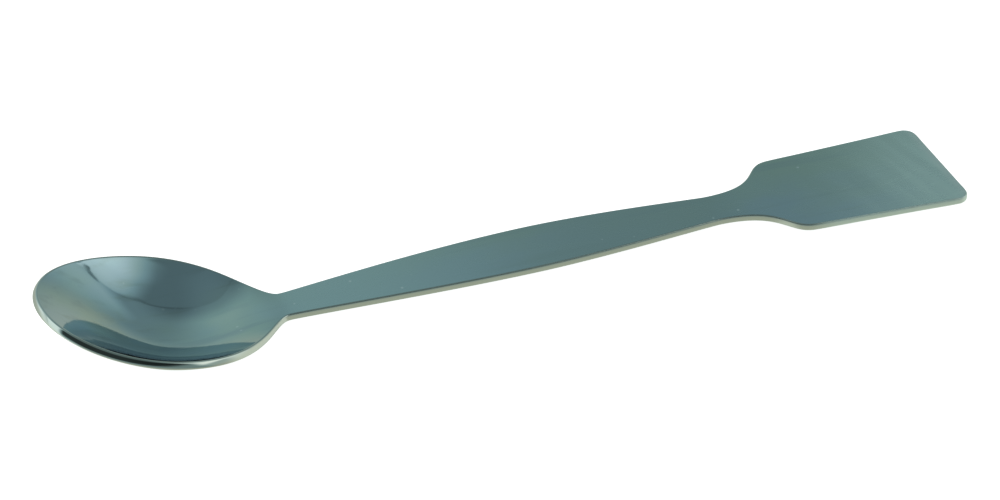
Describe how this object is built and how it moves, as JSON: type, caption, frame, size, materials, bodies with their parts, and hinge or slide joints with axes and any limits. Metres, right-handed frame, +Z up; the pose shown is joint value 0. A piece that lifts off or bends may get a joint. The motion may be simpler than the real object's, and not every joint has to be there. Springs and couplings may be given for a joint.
{
  "type": "lab spatula",
  "caption": "One-piece stainless laboratory spatula with a dished oval spoon bowl at one end, a slim leaf-shaped handle and a flat flaring scraper blade at the other.",
  "frame": {"origin": "middle of the footprint, on the surface the spatula lies on", "axes": "+X from the bowl's tip to the blade's end, +Z up, the part is symmetric across Y"},
  "size_m": [0.1502, 0.0292, 0.0134],
  "materials": {
    "stainless": "satin-polished stainless sheet, brighter inside the bowl"
  },
  "bodies": {
    "root": {"spatula": "stainless"}
  },
  "joints": []
}
